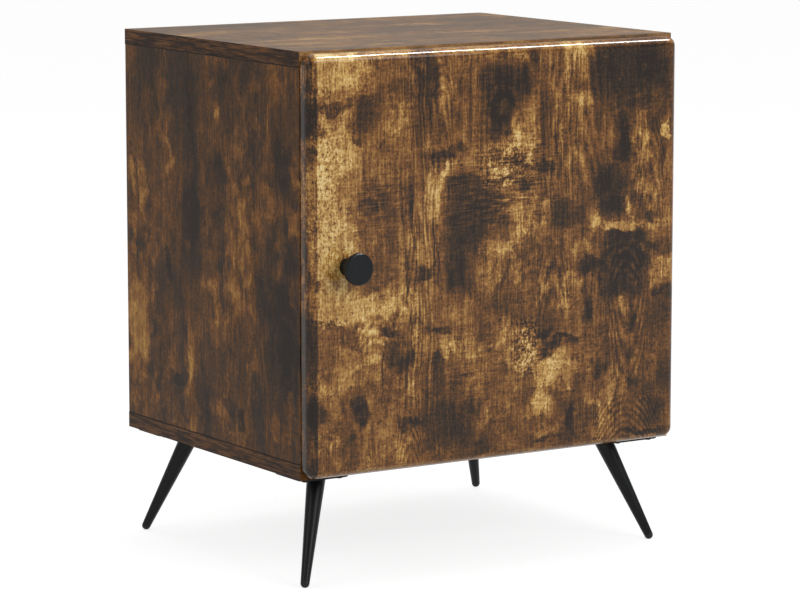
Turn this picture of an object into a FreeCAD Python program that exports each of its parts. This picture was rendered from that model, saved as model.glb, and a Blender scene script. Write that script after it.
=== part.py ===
import FreeCAD, Part
import os
import re
import Sketcher

# Small storage side table: a box of five wood-grain boards on four splayed steel legs, closed at the
# front by one full-overlay door on two concealed cup hinges at its right edge.
# Millimetres. X runs to the right, Y to the back, Z up; Z = 0 is the floor and the origin is the
# middle of the footprint. The door opens towards -Y.

Vector = FreeCAD.Vector
Rotation = FreeCAD.Rotation
Z_AXIS = Vector(0, 0, 1)
QUARTER = 90
TO_LEFT = Rotation(Vector(0, 1, 0), -QUARTER)
TO_RIGHT = Rotation(Vector(0, 1, 0), QUARTER)
TO_FRONT = Rotation(Vector(1, 0, 0), QUARTER)
TO_BACK = Rotation(Vector(1, 0, 0), -QUARTER)
UPSIDE_DOWN = Rotation(Vector(1, 0, 0), 2 * QUARTER)
HALF_TURN = Rotation(Z_AXIS, 2 * QUARTER)
TOLERANCE = 1e-4

# ---------------------------------------------------------------------------------- driving sizes
SIZES = [
    ("carcass_width", 420, "box, over the edge bands of the top and bottom boards"),
    ("carcass_depth", 330, "box, front edge to back edge"),
    ("carcass_height", 396, "box, underside to top face"),
    ("leg_rise", 104, "floor to underside of the box"),
    ("board", 15, "thickness of top, bottom and side boards"),
    ("edge_band", 0.4, "thickness of the glued edge bands"),
    ("back_board", 3, "thickness of the hardboard back"),
    ("back_inset", 12, "rear edge of the boards to the back"),
    ("groove_depth", 6, "groove that holds the back"),
    ("groove_play", 0.2, "play of the back in its groove, each way"),
    ("shelf_board", 15, "thickness of the shelf"),
    ("shelf_level", 172, "inner floor to underside of the shelf"),
    ("shelf_setback", 24, "front edge of the sides to the shelf"),
    ("shelf_play", 0.8, "gap at each end and at the back of the shelf"),
    ("pin_radius", 2.5, "shelf pin"),
    ("pin_seat", 9, "length of a shelf pin inside the side board"),
    ("pin_reach", 8, "length of a shelf pin under the shelf"),
    ("pin_inset", 36, "shelf edge to shelf pin"),
    ("fit_play", 0.05, "radial play of pins, screws and plugs in their holes"),
    ("cam_radius", 7.5, "cam lock disc"),
    ("cam_depth", 12, "thickness of a cam lock disc"),
    ("cam_cross_reach", 4.5, "middle of a cam lock to the ends of its cross recess"),
    ("cam_cross_width", 1.6, "slots of the cross recess in a cam lock"),
    ("cam_cross_depth", 2.2, "depth of the cross recess in a cam lock"),
    ("cam_reach", 34, "end of a side board to the middle of its cam"),
    ("cam_inset", 60, "front or back edge to the cam lock"),
    ("bolt_neck_radius", 1.5, "cam bolt behind its head"),
    ("bolt_shank_radius", 2.5, "cam bolt from its thread to its neck"),
    ("bolt_play", 0.6, "radial play of a cam bolt in the end of a side board"),
    ("bolt_radius", 3, "cam bolt"),
    ("bolt_seat", 11, "length of a cam bolt in the top or bottom board"),
    ("dowel_radius", 4, "wooden dowel"),
    ("dowel_seat", 10, "dowel in the top or bottom board"),
    ("dowel_reach", 20, "dowel in the end of a side board"),
    ("dowel_step", 32, "cam bolt to the dowel beside it"),
    ("plate_side", 54, "leg plate, square"),
    ("plate_thickness", 2.5, "leg plate"),
    ("plate_corner", 9, "rounded corners of a leg plate"),
    ("plate_inset", 4.7, "edge of the box to the leg plate"),
    ("plate_hole_inset", 8.5, "edge of a leg plate to its screws"),
    ("leg_top_inset", 47, "edge of the box to the leg's axis, at the box"),
    ("leg_tip_inset", 11.8, "edge of the box to the leg's axis, at the foot"),
    ("leg_top_radius", 9.4, "leg tube at the box"),
    ("leg_tip_radius", 4.25, "leg tube at the foot"),
    ("leg_wall", 1.2, "wall of the leg tube"),
    ("glide_band", 1.2, "length of foot glide that shows above its dome"),
    ("glide_plug", 12, "length of the plug inside the tube"),
    ("glide_flat", 0.25, "height taken off the dome where it stands"),
    ("screw_head", 1.9, "pan head of any screw, in thread radii"),
    ("screw_crown", 1.3, "flat top of a screw's head, in thread radii"),
    ("cross_reach", 1.1, "middle of a screw's head to the ends of its cross recess, in thread radii"),
    ("cross_width", 0.5, "slots of the cross recess in a screw's head, in thread radii"),
    ("cross_depth", 0.7, "depth of the cross recess in a screw's head, in thread radii"),
    ("leg_screw_radius", 2, "leg screw"),
    ("leg_screw_length", 11, "leg screw under its head"),
    ("door_gap", 1, "front edges of the box to the back of the door"),
    ("door_thickness", 15, "door"),
    ("door_left_reveal", 1.2, "side of the box to the knob edge of the door"),
    ("door_right_reveal", 2.8, "side of the box to the hinge edge of the door"),
    ("door_end_reveal", 2.3, "top and underside of the box to the door"),
    ("door_corner", 9.5, "corner of the door seen from the front"),
    ("door_rounding", 8.5, "rounding along the front edges of the door"),
    ("knob_across", 41.7, "side of the box to the middle of the knob"),
    ("knob_projection", 22, "front of the door to the front of the knob"),
    ("knob_radius", 15, "head of the knob"),
    ("knob_base_radius", 8.5, "foot of the knob"),
    ("knob_foot", 1.6, "height of the knob's foot"),
    ("knob_neck_radius", 7.4, "knob where it is thinnest"),
    ("knob_neck", 5, "front of the door to the knob's neck"),
    ("knob_rim", 4.4, "height of the knob's rim"),
    ("knob_rounding", 1.9, "rounding of the knob's rim"),
    ("knob_screw_radius", 2, "knob screw"),
    ("knob_screw_grip", 12, "length of the knob screw inside the knob"),
    ("bumper_radius", 4, "soft door stop"),
    ("bumper_end", 24, "end of the door to a soft door stop"),
    ("bumper_play", 0.05, "door stop to the box when the door is shut"),
    ("hinge_end", 62, "end of the door to the middle of a hinge"),
    ("cup_edge", 3, "hinge edge of the door to the cup"),
    ("cup_radius", 17.5, "hinge cup"),
    ("cup_depth", 11.3, "hinge cup"),
    ("cup_wall", 1, "sheet of the hinge cup"),
    ("rim_width", 1.2, "rim of the cup on the door"),
    ("rim_thickness", 0.6, "rim of the cup on the door"),
    ("flange_across", 13, "wing of the cup, across the door"),
    ("flange_half", 31, "middle of the hinge to the end of a wing"),
    ("flange_offset", 9.5, "middle of the cup to its screws, across the door"),
    ("cup_screw_half", 24, "middle of the hinge to a cup screw"),
    ("hinge_screw_radius", 1.8, "hinge screws"),
    ("hinge_screw_length", 11, "hinge screws under the head"),
    ("hinge_pin_radius", 1, "pivot pins of the hinge"),
    ("inner_half", 3.8, "half width of the inner link"),
    ("cheek_start", 4, "middle of the hinge to the cheeks of arm and cup"),
    ("cheek_end", 5.2, "outside of the cheeks of arm and cup"),
    ("outer_start", 5.5, "middle of the hinge to a cheek of the outer link"),
    ("outer_end", 6.7, "outside of the outer link"),
    ("link_thickness", 2, "links, seen from above"),
    ("eye_radius", 1.9, "eye of a link round its pin"),
    ("open_pivot_play", 1.2, "radial play at the loose end of the inner link"),
    ("arm_screw_back", 12, "plate screws to the rear screw of the arm"),
    ("arm_screw_front", 10, "plate screws to the front screw of the arm"),
    ("arm_sheet", 1.2, "sheet of the hinge arm"),
    ("arm_top", 14.6, "inner face of the side board to the back of the arm"),
    ("arm_length", 60, "front of the box to the rear end of the arm"),
    ("arm_skirt", 9.6, "depth of the arm's channel"),
    ("arm_eye", 2.2, "metal of the arm round its pins"),
    ("arm_neck", 3.2, "width of the arm's nose where the links swing past it"),
    ("arm_web_end", 12, "front of the box back to the end of the arm's web"),
    ("mount_line", 37, "front of the box to the screws of the mounting plate"),
    ("mount_half", 16, "middle of the hinge to a plate screw"),
    ("mount_base", 2, "thickness of the mounting plate's wings"),
    ("mount_wing", 6, "plate screw to the edge of the mounting plate"),
    ("mount_boss", 14, "plate screws to the front of the mounting plate's boss"),
    ("outer_arm_across", 10.6, "inner face of the side board to the outer link's pin on the arm"),
    ("outer_arm_back", 8.6, "front of the box back to the outer link's pin on the arm"),
    ("inner_arm_across", 10.38, "inner face of the side board to the inner link's pin on the arm"),
    ("inner_arm_out", 5.6, "front of the box out to the inner link's pin on the arm"),
    ("outer_cup_across", 7.6, "hinge edge of the door to the outer link's pin in the cup"),
    ("outer_cup_deep", 2.5, "back of the door to the outer link's pin in the cup"),
    ("inner_cup_across", 10.95, "hinge edge of the door to the inner link's pin in the cup"),
    ("inner_cup_deep", 5.7, "back of the door to the inner link's pin in the cup"),
    ("outer_heel_across", 2.2, "outer link: cup pin to its first bend, away from the hinge edge"),
    ("outer_heel_deep", 1.5, "outer link: cup pin to its first bend, into the cup"),
    ("outer_crest_across", 4.6, "outer link: cup pin to its second bend, away from the hinge edge"),
    ("outer_crest_deep", 1.1, "outer link: cup pin to its second bend, into the cup"),
    ("outer_knee_across", 7.9, "outer link: cup pin to its third bend, away from the hinge edge"),
    ("outer_knee_out", 2.7, "outer link: cup pin to its third bend, towards the box"),
    ("spacer_across", 4.75, "outer link: arm pin to the bar that joins its cheeks, sideways"),
    ("spacer_deep", 5.8, "outer link: arm pin to the bar that joins its cheeks, towards the door"),
    ("inner_heel_across", 2.25, "inner link: cup pin to its first bend, away from the hinge edge"),
    ("inner_heel_deep", 1.3, "inner link: cup pin to its first and last bends, into the cup"),
    ("inner_crest_across", 5.25, "inner link: cup pin to its middle bend, away from the hinge edge"),
    ("inner_crest_deep", 1.9, "inner link: cup pin to its middle bend, into the cup"),
    ("inner_knee_across", 8.75, "inner link: cup pin to its last bend, away from the hinge edge"),
    ("loose_eye_across", 0.4, "shift of the inner link's loose eye towards the hinge edge"),
    ("loose_eye_deep", 0.95, "shift of the inner link's loose eye into the cup"),
]


# ------------------------------------------------------------------------- places, worked out from them
CARCASS_LEFT = "(-carcass_width / 2)"
CARCASS_FRONT = "((knob_projection + door_thickness + door_gap - carcass_depth) / 2)"
CARCASS_TOP = "(leg_rise + carcass_height)"
INNER_FACE = "(edge_band + board)"
SIDE_HEIGHT = "(carcass_height - 2 * board)"
GROOVE_WIDTH = "(back_board + 2 * groove_play)"
GROOVE_START = "(carcass_depth - back_inset - back_board - groove_play)"
DOOR_WIDTH = "(carcass_width - door_left_reveal - door_right_reveal)"
DOOR_HEIGHT = "(carcass_height - 2 * door_end_reveal)"
DOOR_BACK = f"({CARCASS_FRONT} - door_gap)"
DOOR_FRONT = f"({CARCASS_FRONT} - door_gap - door_thickness)"
DOOR_BOTTOM = "(leg_rise + door_end_reveal)"
DOOR_MIDDLE = "(leg_rise + carcass_height / 2)"
CUP_CENTRE = "(door_right_reveal + cup_edge + cup_radius)"
HINGES = {"lower": f"({DOOR_BOTTOM} + hinge_end)",
          "upper": "(leg_rise + carcass_height - door_end_reveal - hinge_end)"}
LEG_LENGTH = ("sqrt(2 * (leg_top_inset - leg_tip_inset) ^ 2"
              " + (leg_rise - leg_tip_radius + glide_flat) ^ 2)")
LEG_LEAN = ("atan2(sqrt(2) * (leg_top_inset - leg_tip_inset);"
            " leg_rise - leg_tip_radius + glide_flat)")
LEG_SLOPE = f"((leg_top_radius - leg_tip_radius) / {LEG_LENGTH})"

# Each corner's way into the box along X and Y, and the quarter turns that swing the first corner there.
CORNERS = {"front_left": (1, 1), "front_right": (-1, 1), "back_right": (-1, -1), "back_left": (1, -1)}
CORNER_TURNS = {corner: turns for turns, corner in enumerate(CORNERS)}
NEAR_HOLE = "plate_hole_inset"
FAR_HOLE = "(plate_side - plate_hole_inset)"
PLATE_HOLES = ((NEAR_HOLE, NEAR_HOLE), (NEAR_HOLE, FAR_HOLE), (FAR_HOLE, NEAR_HOLE))
PLATE_UNDERSIDE = "(leg_rise - plate_thickness)"

# Pivots of a hinge with the door shut, as (in from the right side of the box, out from its front).
ARM_OUTER = (f"({INNER_FACE} + outer_arm_across)", "(-outer_arm_back)")
ARM_INNER = (f"({INNER_FACE} + inner_arm_across)", "inner_arm_out")
CUP_OUTER = ("(door_right_reveal + outer_cup_across)", "(door_gap + outer_cup_deep)")
CUP_INNER = ("(door_right_reveal + inner_cup_across)", "(door_gap + inner_cup_deep)")

# ------------------------------------------------------------------------------- document and helpers
doc = FreeCAD.newDocument("StorageSideTable")
sheet = doc.addObject("Spreadsheet::Sheet", "Sizes")
for row, (alias, number, meaning) in enumerate(SIZES, start=1):
    sheet.set(f"A{row}", alias)
    sheet.set(f"B{row}", str(number))
    sheet.setAlias(f"B{row}", alias)
    sheet.set(f"C{row}", meaning)
doc.recompute()
ALIASES = {alias for alias, number, meaning in SIZES}
nodes = []


def in_sheet(expression):
    """The same expression with every size name read from the spreadsheet."""
    return re.sub(r"[a-z]\w*", lambda word: f"Sizes.{word[0]}" if word[0] in ALIASES else word[0],
                  str(expression))


def value(expression):
    return float(sheet.evalExpression(in_sheet(expression)))


def bind(thing, prop, expression):
    thing.setExpression(prop, in_sheet(expression))


def place(thing, x="0", y="0", z="0", rotation=None):
    """Puts an object at a point given by expressions, turned by a fixed rotation."""
    if rotation:
        thing.Placement = FreeCAD.Placement(Vector(), rotation)
    for axis, expression in zip("xyz", (x, y, z)):
        bind(thing, f"Placement.Base.{axis}", expression)
    return thing


def node(thing, label):
    """Keeps an object as a sub-part that is written to a file of that name."""
    thing.Label = label
    nodes.append(thing)
    return thing


def new_body(name, x="0", y="0", z="0", rotation=None):
    return place(doc.addObject("PartDesign::Body", name), x, y, z, rotation)


def new_sketch(body, name, plane="XY_Plane", height="0"):
    """An empty sketch on one of the body's own origin planes, raised by an expression."""
    sketch = body.newObject("Sketcher::SketchObject", name)
    origin_plane = next(item for item in body.Origin.OriginFeatures if item.Role == plane)
    sketch.AttachmentSupport = (origin_plane, "")
    sketch.MapMode = "FlatFace"
    bind(sketch, "AttachmentOffset.Base.z", height)
    return sketch


def fix_point(sketch, edge, end, point):
    """Ties one sketch point to a pair of expressions."""
    for kind, expression in zip(("DistanceX", "DistanceY"), point):
        index = sketch.addConstraint(Sketcher.Constraint(kind, -1, 1, edge, end, value(expression)))
        bind(sketch, f"Constraints[{index}]", expression)


def draw_path(sketch, points, closed=True):
    """Straight edges through points given as pairs of expressions."""
    corners = [Vector(value(x), value(y), 0) for x, y in points]
    count = len(points) if closed else len(points) - 1
    first = sketch.GeometryCount
    for index in range(count):
        after = (index + 1) % len(points)
        sketch.addGeometry(Part.LineSegment(corners[index], corners[after]))
        fix_point(sketch, first + index, 1, points[index])
    for index in range(count if closed else count - 1):
        after = (index + 1) % count
        sketch.addConstraint(Sketcher.Constraint("Coincident", first + index, 2, first + after, 1))
    if not closed:
        fix_point(sketch, first + count - 1, 2, points[-1])


def draw_rectangle(sketch, left, low, right, high):
    draw_path(sketch, [(left, low), (right, low), (right, high), (left, high)])


def draw_circle(sketch, centre, radius):
    middle = Vector(value(centre[0]), value(centre[1]), 0)
    edge = sketch.addGeometry(Part.Circle(middle, Z_AXIS, value(radius)))
    fix_point(sketch, edge, 3, centre)
    index = sketch.addConstraint(Sketcher.Constraint("Radius", edge, value(radius)))
    bind(sketch, f"Constraints[{index}]", radius)


def pad(body, sketch, length, backward=False):
    feature = body.newObject("PartDesign::Pad", sketch.Name + "Pad")
    feature.Profile = sketch
    feature.Reversed = backward
    bind(feature, "Length", length)
    return feature


def draw_cross(sketch, reach, width):
    """Outline of a plus sign about the sketch's middle."""
    side = f"(({width}) / 2)"
    quarter = [(side, side), (side, reach), (f"-{side}", reach)]
    points = []
    for turns in range(4):
        points += quarter
        quarter = [(f"-({y})", x) for x, y in quarter]
    draw_path(sketch, points)


def pocket(body, sketch, depth, forward=False):
    """Cuts a sketch against its normal, or along it where forward is set, and checks that it cut."""
    doc.recompute()
    before = body.Tip.Shape.Volume
    feature = body.newObject("PartDesign::Pocket", sketch.Name + "Pocket")
    feature.Profile = sketch
    feature.Reversed = forward
    bind(feature, "Length", depth)
    doc.recompute()
    if feature.Shape.Volume > before - TOLERANCE:
        raise RuntimeError(f"{feature.Name} cuts nothing")
    return feature


def drill(body, name, plane, height, centres, radius, depth, forward=False):
    """Round holes of one size and depth, sunk from a plane of the body."""
    sketch = new_sketch(body, name, plane, height)
    for centre in centres:
        draw_circle(sketch, centre, radius)
    return pocket(body, sketch, depth, forward)


def round_edges(body, name, keep, radius):
    """Fillets the edges of the body's tip for which keep(edge) is true."""
    doc.recompute()
    tip = body.Tip
    edges = [f"Edge{number}" for number, edge in enumerate(tip.Shape.Edges, start=1) if keep(edge)]
    feature = body.newObject("PartDesign::Fillet", name)
    feature.Base = (tip, edges)
    bind(feature, "Radius", radius)
    return feature


def turned(name, points, x="0", y="0", z="0", rotation=None):
    """A body turned about its Z axis from a closed outline of (radius, height) expressions."""
    body = new_body(name, x, y, z, rotation)
    sketch = new_sketch(body, name + "Profile", "XZ_Plane")
    draw_path(sketch, points)
    feature = body.newObject("PartDesign::Revolution", name + "Turn")
    feature.Profile = sketch
    feature.ReferenceAxis = (sketch, ["V_Axis"])
    feature.Angle = 360
    return body


def block(name, x, y, z, length, width, height):
    box = place(doc.addObject("Part::Box", name), x, y, z)
    bind(box, "Length", length)
    bind(box, "Width", width)
    bind(box, "Height", height)
    return box


def rod(name, x, y, z, radius, length, rotation=None):
    cylinder = place(doc.addObject("Part::Cylinder", name), x, y, z, rotation)
    bind(cylinder, "Radius", radius)
    bind(cylinder, "Height", length)
    return cylinder


def fuse(name, pieces):
    joined = doc.addObject("Part::MultiFuse", name)
    joined.Shapes = pieces
    return joined


def cut(name, base, tool):
    rest = doc.addObject("Part::Cut", name)
    rest.Base = base
    rest.Tool = tool
    return rest


def group(name, pieces):
    """Loose pieces of one kind, such as the screws of one plate, kept as one sub-part."""
    compound = doc.addObject("Part::Compound", name)
    compound.Links = pieces
    return compound


# ----------------------------------------------------------------------------------------- the box
# Laminated boards: the top and bottom boards run over the full width and cap the two side boards, and
# the hardboard back slides in a groove that runs round all four. A cam lock and a dowel at the front
# and at the back hold every corner.
CAM_ROWS = ("cam_inset", "(carcass_depth - cam_inset)")
DOWEL_ROWS = ("(cam_inset + dowel_step)", "(carcass_depth - cam_inset - dowel_step)")
BOARD_WIDTH = "(carcass_width - 2 * edge_band)"
SHELF_FLOOR = "(leg_rise + board + shelf_level)"
SHELF_BACK = "(carcass_depth - back_inset - back_board - shelf_play)"
PIN_ROWS = {"front": "(shelf_setback + pin_inset)", "back": f"({SHELF_BACK} - pin_inset)"}
BOLT_HOLE = "(bolt_radius + bolt_play)"


def end_board(label, z, inside, upward):
    """Top or bottom board, with its joint holes and back groove sunk from the face inside the box."""
    body = new_body(label, f"{CARCASS_LEFT} + edge_band", CARCASS_FRONT, z)
    outline = new_sketch(body, label + "Outline")
    draw_rectangle(outline, "0", "0", BOARD_WIDTH, "carcass_depth")
    pad(body, outline, "board")
    groove = new_sketch(body, label + "Groove", "XY_Plane", inside)
    draw_rectangle(groove, "board - groove_depth", GROOVE_START,
                   f"{BOARD_WIDTH} - board + groove_depth", f"{GROOVE_START} + {GROOVE_WIDTH}")
    pocket(body, groove, "groove_depth", upward)
    ends = ("board / 2", f"{BOARD_WIDTH} - board / 2")
    bolts = [(x, y) for x in ends for y in CAM_ROWS]
    dowels = [(x, y) for x in ends for y in DOWEL_ROWS]
    drill(body, label + "Bolts", "XY_Plane", inside, bolts, "bolt_radius + fit_play", "bolt_seat", upward)
    drill(body, label + "Dowels", "XY_Plane", inside, dowels, "dowel_radius + fit_play", "dowel_seat",
          upward)
    return node(body, label)


def side_board(label, x, inside, outward):
    """Side board, with cams, shelf pins and back groove sunk from the face inside the box."""
    body = new_body(label, x, CARCASS_FRONT, "leg_rise + board")
    outline = new_sketch(body, label + "Outline", "YZ_Plane")
    draw_rectangle(outline, "0", "0", "carcass_depth", SIDE_HEIGHT)
    pad(body, outline, "board")
    groove = new_sketch(body, label + "Groove", "YZ_Plane", inside)
    draw_rectangle(groove, GROOVE_START, "0", f"{GROOVE_START} + {GROOVE_WIDTH}", SIDE_HEIGHT)
    pocket(body, groove, "groove_depth", outward)
    cams = [(y, z) for y in CAM_ROWS for z in ("cam_reach", f"{SIDE_HEIGHT} - cam_reach")]
    drill(body, label + "Cams", "YZ_Plane", inside, cams, "cam_radius + fit_play", "cam_depth", outward)
    pins = [(y, "shelf_level - pin_radius") for y in PIN_ROWS.values()]
    drill(body, label + "Pins", "YZ_Plane", inside, pins, "pin_radius + fit_play", "pin_seat", outward)
    for end, height, upward in (("Foot", "0", True), ("Head", SIDE_HEIGHT, False)):
        bolts = [("board / 2", y) for y in CAM_ROWS]
        dowels = [("board / 2", y) for y in DOWEL_ROWS]
        drill(body, label + end + "Bolts", "XY_Plane", height, bolts, BOLT_HOLE, "cam_reach", upward)
        drill(body, label + end + "Dowels", "XY_Plane", height, dowels, "dowel_radius + fit_play",
              "dowel_reach", upward)
    return body


def make_box():
    end_board("top_panel", f"{CARCASS_TOP} - board", "0", True)
    bottom = end_board("bottom_panel", "leg_rise", "board", False)
    screws = [leg_screw_on_board(corner, hole) for corner in CORNERS for hole in PLATE_HOLES]
    drill(bottom, "LegScrews", "XY_Plane", "0", screws, "leg_screw_radius + fit_play",
          "leg_screw_length - plate_thickness", True)

    node(side_board("left_side_panel", f"{CARCASS_LEFT} + edge_band", "board", False), "left_side_panel")
    right = side_board("right_side_panel", f"-{CARCASS_LEFT} - edge_band - board", "0", True)
    mounts = [("mount_line", f"{level} - leg_rise - board + {turn} * mount_half")
              for level in HINGES.values() for turn in (-1, 1)]
    drill(right, "MountScrews", "YZ_Plane", "0", mounts, "hinge_screw_radius + fit_play",
          "hinge_screw_length - mount_base", True)
    node(right, "right_side_panel")

    reach = "(groove_depth - groove_play)"
    back = block("BackBoard", f"{CARCASS_LEFT} + {INNER_FACE} - {reach}",
                 f"{CARCASS_FRONT} + {GROOVE_START} + groove_play", f"leg_rise + board - {reach}",
                 f"carcass_width - 2 * {INNER_FACE} + 2 * {reach}", "back_board",
                 f"{SIDE_HEIGHT} + 2 * {reach}")
    node(back, "back_panel")
    shelf = block("ShelfBoard", f"{CARCASS_LEFT} + {INNER_FACE} + shelf_play",
                  f"{CARCASS_FRONT} + shelf_setback", SHELF_FLOOR,
                  f"carcass_width - 2 * {INNER_FACE} - 2 * shelf_play",
                  f"{SHELF_BACK} - shelf_setback", "shelf_board")
    node(shelf, "shelf")


def make_edge_bands():
    """Thin strips glued over the ends of the top and bottom boards; they stand proud of the sides."""
    for level, z in (("top", f"{CARCASS_TOP} - board"), ("bottom", "leg_rise")):
        for side, x in (("left", CARCASS_LEFT), ("right", f"-{CARCASS_LEFT} - edge_band")):
            band = block(f"Band_{level}_{side}", x, CARCASS_FRONT, z, "edge_band", "carcass_depth",
                         "board")
            node(band, f"{level}_{side}_edge_band")


def make_shelf_pins():
    for side, x in (("left", f"{CARCASS_LEFT} + {INNER_FACE} - pin_seat"),
                    ("right", f"-{CARCASS_LEFT} - {INNER_FACE} - pin_reach")):
        for row, y in PIN_ROWS.items():
            pin = rod(f"Pin_{side}_{row}", x, f"{CARCASS_FRONT} + {y}", f"{SHELF_FLOOR} - pin_radius",
                      "pin_radius", "pin_seat + pin_reach", TO_RIGHT)
            node(pin, f"{row}_{side}_shelf_pin")


def cam_disc(name, x, y, z, rotation, way):
    """Cam lock disc with a cross recess and the mouth that takes the bolt's head from the board's end."""
    disc = new_body(name + "Disc", x, y, z, rotation)
    outline = new_sketch(disc, name + "Outline")
    draw_circle(outline, ("0", "0"), "cam_radius")
    pad(disc, outline, "cam_depth")
    cross = new_sketch(disc, name + "Cross")
    draw_cross(cross, "cam_cross_reach", "cam_cross_width")
    pocket(disc, cross, "cam_cross_depth", True)
    start = z if way > 0 else f"{z} - cam_radius"
    middle = f"{CARCASS_LEFT} + edge_band + board / 2"
    mouth = rod(name + "Mouth", middle if rotation is TO_LEFT else f"-({middle})", y, start, BOLT_HOLE,
                "cam_radius")
    return cut(name, disc, mouth)


def cam_bolt(name, x, y, z, rotation):
    """Bolt whose thread sits in the top or bottom board and whose head the cam pulls."""
    outline = [("0", "-bolt_seat"), ("bolt_radius", "-bolt_seat"), ("bolt_radius", "0"),
               ("bolt_shank_radius", "0"), ("bolt_shank_radius", "cam_reach - cam_radius"),
               ("bolt_neck_radius", "cam_reach - cam_radius"),
               ("bolt_neck_radius", "cam_reach - bolt_radius"),
               ("bolt_radius", "cam_reach - bolt_radius"), ("bolt_radius", "cam_reach"),
               ("0", "cam_reach")]
    return turned(name, outline, x, y, z, rotation)


def make_box_joints():
    ends = {"bottom": ("leg_rise + board", 1), "top": (f"{CARCASS_TOP} - board", -1)}
    sides = {"left": (CARCASS_LEFT, 1, TO_LEFT), "right": (f"-{CARCASS_LEFT}", -1, TO_RIGHT)}
    bolts = []
    dowels = []
    for side, (face, inward, rotation) in sides.items():
        discs = []
        middle = f"{face} + {inward} * (edge_band + board / 2)"
        for end, (z, way) in ends.items():
            for number, row in enumerate(CAM_ROWS):
                name = f"{side}_{end}_{number}"
                y = f"{CARCASS_FRONT} + {row}"
                discs.append(cam_disc("Cam_" + name, f"{face} + {inward} * {INNER_FACE}", y,
                                      f"{z} + {way} * cam_reach", rotation, -way))
                bolts.append(cam_bolt("Bolt_" + name, middle, y, z, None if way > 0 else UPSIDE_DOWN))
            for number, row in enumerate(DOWEL_ROWS):
                start = f"{z} - dowel_seat" if way > 0 else f"{z} - dowel_reach"
                dowels.append(rod(f"Dowel_{side}_{end}_{number}", middle, f"{CARCASS_FRONT} + {row}",
                                  start, "dowel_radius", "dowel_seat + dowel_reach"))
        node(group(f"CamDiscs_{side}", discs), f"{side}_cam_discs")
    node(group("CamBolts", bolts), "cam_bolts")
    node(group("Dowels", dowels), "dowels")


# ---------------------------------------------------------------------------------------- the legs
# Each leg is a tapered steel tube welded under a square plate; it leans outwards across its corner.
# Three screws hold the plate, the tube takes the place of the fourth, and a domed plastic glide closes
# the foot.


def corner_point(corner, inset_x, inset_y):
    """A point under the box by its distances from the two edges that meet at a corner."""
    inward_x, inward_y = CORNERS[corner]
    x = f"({-inward_x} * (carcass_width / 2 - ({inset_x})))"
    y = f"({CARCASS_FRONT} + carcass_depth / 2 - {inward_y} * (carcass_depth / 2 - ({inset_y})))"
    return x, y


def plate_hole(corner, hole):
    """A screw of a leg plate; the quarter turns of a corner swap the two distances of its hole."""
    first, second = hole if CORNER_TURNS[corner] % 2 == 0 else hole[::-1]
    return corner_point(corner, f"plate_inset + {first}", f"plate_inset + {second}")


def leg_screw_on_board(corner, hole):
    """The same screw in the bottom board's own frame."""
    x, y = plate_hole(corner, hole)
    return f"{x} - {CARCASS_LEFT} - edge_band", f"{y} - {CARCASS_FRONT}"


def tube_radius(along):
    return f"(leg_tip_radius + {LEG_SLOPE} * ({along}))"


def screw(name, x, y, z, rotation, radius, length):
    """Pan-head cross-recess screw along its own Z, the underside of its head at the given point."""
    outline = [("0", f"-{radius}"), (f"{radius} * screw_crown", f"-{radius}"),
               (f"{radius} * screw_head", f"-{radius} / 2"), (f"{radius} * screw_head", "0"),
               (radius, "0"), (radius, f"{length} - {radius}"), ("0", length)]
    body = turned(name, outline, x, y, z, rotation)
    cross = new_sketch(body, name + "Cross", "XY_Plane", f"-{radius}")
    draw_cross(cross, f"({radius} * cross_reach)", f"{radius} * cross_width")
    pocket(body, cross, f"{radius} * cross_depth", True)
    return body


def leg_plate(corner):
    x, y = corner_point(corner, "0", "0")
    body = new_body(f"Plate_{corner}", x, y, PLATE_UNDERSIDE, Rotation(Z_AXIS, QUARTER * CORNER_TURNS[corner]))
    outline = new_sketch(body, f"PlateOutline_{corner}")
    draw_rectangle(outline, "plate_inset", "plate_inset", "plate_inset + plate_side",
                   "plate_inset + plate_side")
    pad(body, outline, "plate_thickness")
    upright = value("plate_thickness")
    round_edges(body, f"PlateCorners_{corner}", lambda edge: abs(edge.Length - upright) < TOLERANCE
                and edge.BoundBox.ZLength > upright / 2, "plate_corner")
    holes = [(f"plate_inset + {first}", f"plate_inset + {second}") for first, second in PLATE_HOLES]
    drill(body, f"PlateHoles_{corner}", "XY_Plane", "0", holes, "leg_screw_radius + 6 * fit_play",
          "plate_thickness", True)
    return node(body, f"{corner}_leg_plate")


def leg_frame(corner):
    """Centre of the foot's dome and the turn that leans the leg from it towards the box's middle."""
    x, y = corner_point(corner, "leg_tip_inset", "leg_tip_inset")
    inward_x, inward_y = CORNERS[corner]
    return x, y, "leg_tip_radius - glide_flat", Rotation(Vector(-inward_y, inward_x, 0), 30)


def lean(thing):
    bind(thing, "Placement.Rotation.Angle", LEG_LEAN)
    return thing


def leg_tube(corner):
    x, y, z, rotation = leg_frame(corner)
    end = f"({LEG_LENGTH} + leg_top_radius)"
    outline = [(f"{tube_radius('glide_band')} - leg_wall", "glide_band"),
               (tube_radius("glide_band"), "glide_band"), (tube_radius(end), end),
               (f"{tube_radius(end)} - leg_wall", end)]
    whole = lean(turned(f"Tube_{corner}", outline, x, y, z, rotation))
    top_x, top_y = corner_point(corner, "leg_top_inset", "leg_top_inset")
    waste = block(f"TubeWaste_{corner}", f"{top_x} - 4 * leg_top_radius", f"{top_y} - 4 * leg_top_radius",
                  PLATE_UNDERSIDE, "8 * leg_top_radius", "8 * leg_top_radius", "4 * leg_top_radius")
    return node(cut(f"Leg_{corner}", whole, waste), f"{corner}_leg_tube")


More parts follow.
